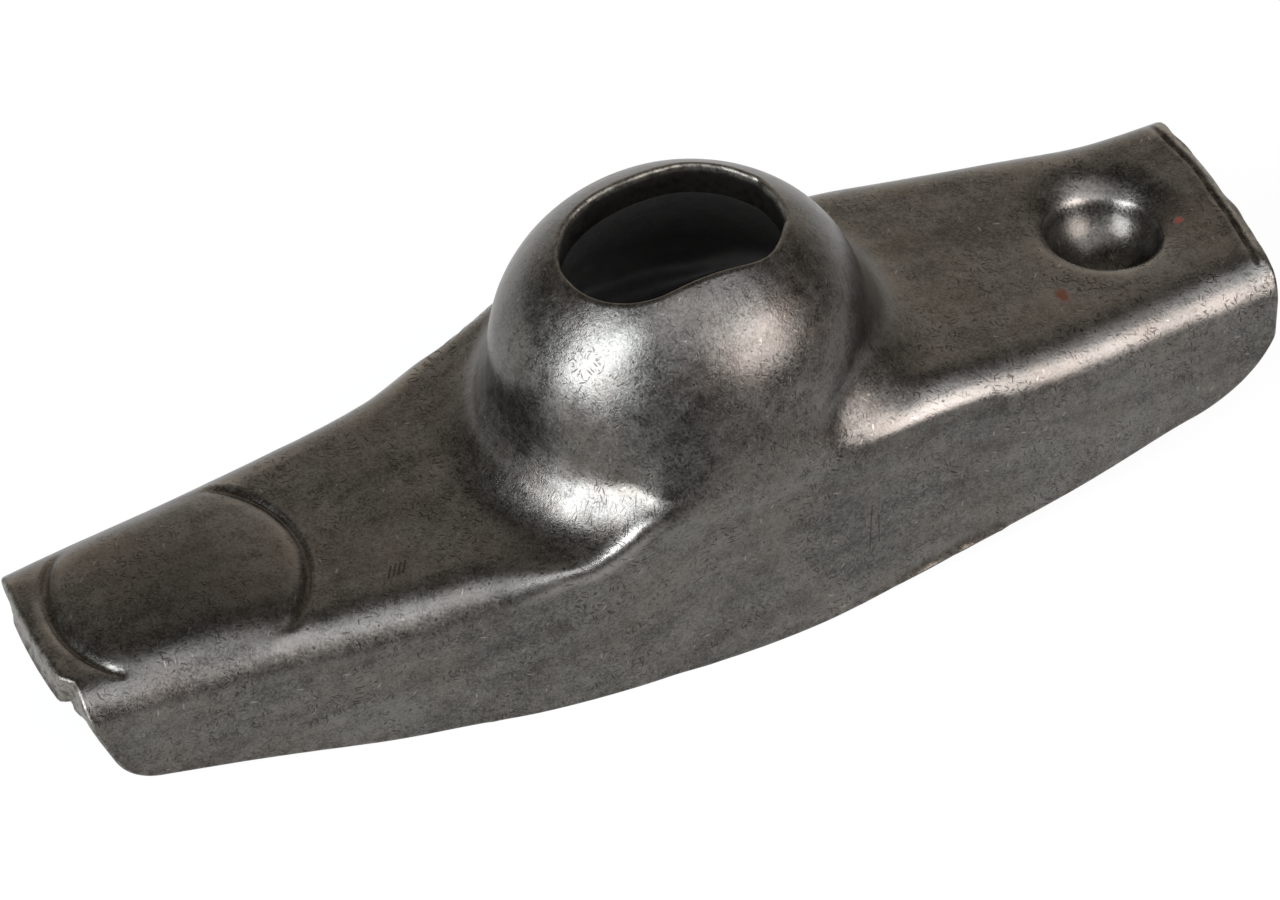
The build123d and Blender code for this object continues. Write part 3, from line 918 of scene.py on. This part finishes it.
def steel_relief(tree, marks):
    """Normal of the grain and of what is cut into it, from heights in mm."""
    height = combine(tree, "MULTIPLY", marks["grain"], 0.012)
    height = combine(tree, "ADD", height, combine(tree, "MULTIPLY", marks["mottle"], 0.01))
    cuts = combine(tree, "MAXIMUM", marks["pits"], marks["nicks"])
    height = combine(tree, "SUBTRACT", height, combine(tree, "MULTIPLY", cuts, 0.004))
    height = combine(tree, "SUBTRACT", height, combine(tree, "MULTIPLY", marks["struck"], 0.01))
    relief = {"Height": height, "Strength": 1.0, "Distance": 1 * MM}
    return add_node(tree, "ShaderNodeBump", relief).outputs[0]


def used_steel():
    """Pressed mild steel, barrelled smooth and darkened by hot oil: brown-grey, brighter where it rubs."""
    steel = bpy.data.materials.new("oil_darkened_steel")
    steel.use_nodes = True
    tree = steel.node_tree
    shader = tree.nodes["Principled BSDF"].inputs
    marks = steel_marks(tree)
    oxide = combine(tree, "MAXIMUM", marks["rust"], marks["red"])
    tree.links.new(steel_colour(tree, marks), shader["Base Color"])
    tree.links.new(ramp(tree, oxide, 0.0, 1.0, 1.0, 0.3), shader["Metallic"])
    tree.links.new(steel_roughness(tree, marks), shader["Roughness"])
    tree.links.new(steel_relief(tree, marks), shader["Normal"])
    return steel


def seen_directly(tree):
    """1 for rays from the eye or from a mirroring or clear surface, 0 for scattered light."""
    path = add_node(tree, "ShaderNodeLightPath").outputs
    return most(tree, [path["Is Camera Ray"], path["Is Glossy Ray"], path["Is Transmission Ray"]])


def table_white():
    """Matt white paper, nearly plain white to the eye, with the arm's shadow faint on it.

    What the metal mirrors of it is white too, but falls off from 30 to 75 mm in front of the arm's middle, as
    if the paper ended there. The eye sees the sheet white all over.
    """
    paper = bpy.data.materials.new("white_paper")
    paper.use_nodes = True
    tree = paper.node_tree
    shader = tree.nodes["Principled BSDF"]
    shader.inputs["Base Color"].default_value = linear("F4F4F4")
    shader.inputs["Roughness"].default_value = 0.9
    place = add_node(tree, "ShaderNodeTexCoord").outputs["Object"]
    nearer = add_node(tree, "ShaderNodeSeparateXYZ", {0: place}).outputs["Y"]
    mirrored = ramp(tree, nearer, -75 * MM, -30 * MM, 0.1, 1.0)
    eye = add_node(tree, "ShaderNodeLightPath").outputs["Is Camera Ray"]
    strength = combine(tree, "MAXIMUM", mirrored, eye)
    white = add_node(tree, "ShaderNodeEmission", {"Color": (1, 1, 1, 1), "Strength": strength}).outputs[0]
    share = combine(tree, "MULTIPLY", seen_directly(tree), 0.92)
    shown = add_node(tree, "ShaderNodeMixShader", {0: share, 1: shader.outputs[0], 2: white}).outputs[0]
    tree.links.new(shown, tree.nodes["Material Output"].inputs["Surface"])
    return paper


# ---------------------------------------------------------------- studio
# The camera's turn from the side towards the valve end, its look down, and how far off and aside it stands.
# Its picture's middle lies a little left of and below the arm's origin.
VIEW_TURN, VIEW_DROP = radians(25.4), radians(45)
VIEW_DISTANCE, VIEW_SIDE, VIEW_LIFT = 454.5 * MM, 2.22 * MM, 6.58 * MM
LENS, SENSOR = 225, 36
TABLE_HEIGHT, TABLE_HALF = -16 * MM, 1.5
right = Vector((cos(VIEW_TURN), -sin(VIEW_TURN), 0))
up = Vector((sin(VIEW_TURN) * sin(VIEW_DROP), cos(VIEW_TURN) * sin(VIEW_DROP), cos(VIEW_DROP)))
forward = Vector((sin(VIEW_TURN) * cos(VIEW_DROP), cos(VIEW_TURN) * cos(VIEW_DROP), -sin(VIEW_DROP)))


def aimed(place, target):
    """World matrix that stands at a place and looks at a target."""
    back = (place - target).normalized()
    side = Vector((0, 0, 1)).cross(back).normalized()
    return Matrix.Translation(place) @ Matrix((side, back.cross(side), back)).transposed().to_4x4()


def add_camera():
    camera = bpy.data.objects.new("camera", bpy.data.cameras.new("camera"))
    bpy.context.scene.collection.objects.link(camera)
    camera.data.sensor_width, camera.data.lens = SENSOR, LENS
    camera.data.clip_start, camera.data.clip_end = 0.01, 20
    place = -(right * VIEW_SIDE + up * VIEW_LIFT + forward * VIEW_DISTANCE)
    camera.matrix_world = aimed(place, place + forward)
    bpy.context.scene.camera = camera


def add_softbox(name, way, distance, size, watts, colour):
    """A softbox some way off the arm: way is to the right, up and nearer as the camera sees it."""
    data = bpy.data.lights.new(name, "AREA")
    data.shape = "RECTANGLE"
    data.size, data.size_y = size
    data.energy, data.color = watts, linear(colour)[:3]
    lamp = bpy.data.objects.new(name, data)
    bpy.context.scene.collection.objects.link(lamp)
    toward = (right * way[0] + up * way[1] - forward * way[2]).normalized()
    lamp.matrix_world = aimed(toward * distance, Vector((0, 0, 0)))


def add_table():
    """White paper under the arm, just below its rims."""
    signs = ((-1, -1), (1, -1), (1, 1), (-1, 1))
    corners = [(x * TABLE_HALF, y * TABLE_HALF, TABLE_HEIGHT) for x, y in signs]
    mesh = bpy.data.meshes.new("table_top")
    mesh.from_pydata(corners, [], [(0, 1, 2, 3)])
    table = bpy.data.objects.new("table_top", mesh)
    bpy.context.scene.collection.objects.link(table)
    mesh.materials.append(table_white())


def add_room():
    """Dim room for the light, brighter on its far wall."""
    world = bpy.data.worlds.new("studio_room")
    bpy.context.scene.world = world
    world.use_nodes = True
    tree = world.node_tree
    tree.nodes.clear()
    looking = add_node(tree, "ShaderNodeTexCoord").outputs["Generated"]
    far = Vector((0.42, 0.89, 0.17))
    facing = vectors(tree, "DOT_PRODUCT", looking, far, "Value")
    strength = ramp(tree, facing, 0.5, 1.0, 0.16, 0.98, interpolation_type="SMOOTHSTEP")
    walls = {"Color": linear("FFF5E8"), "Strength": strength}
    room = add_node(tree, "ShaderNodeBackground", walls).outputs[0]
    add_node(tree, "ShaderNodeOutputWorld", {"Surface": room})


arm = pressed_arm()
uneven_face(
    arm, used_steel(),
    wave_height=0.10 * MM, wave_size=6 * MM, ripple_height=0.03 * MM, ripple_size=1.6 * MM, seed=4,
)
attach(arm, "root")
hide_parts("rocker_body")
add_camera()
add_room()
add_table()
add_softbox("left_softbox", (-0.65, -0.29, 0.7), distance=0.7, size=(0.42, 0.72), watts=15.5, colour="F1F8FF")
add_softbox("right_softbox", (0.76, -0.1, 0.64), distance=0.7, size=(0.4, 0.42), watts=4.6, colour="FFF8F8")
add_softbox("front_softbox", (0.36, 0.26, 0.9), distance=0.9, size=(0.9, 0.6), watts=4.4, colour="F2F7FF")
bpy.context.scene.view_settings.view_transform = "Standard"
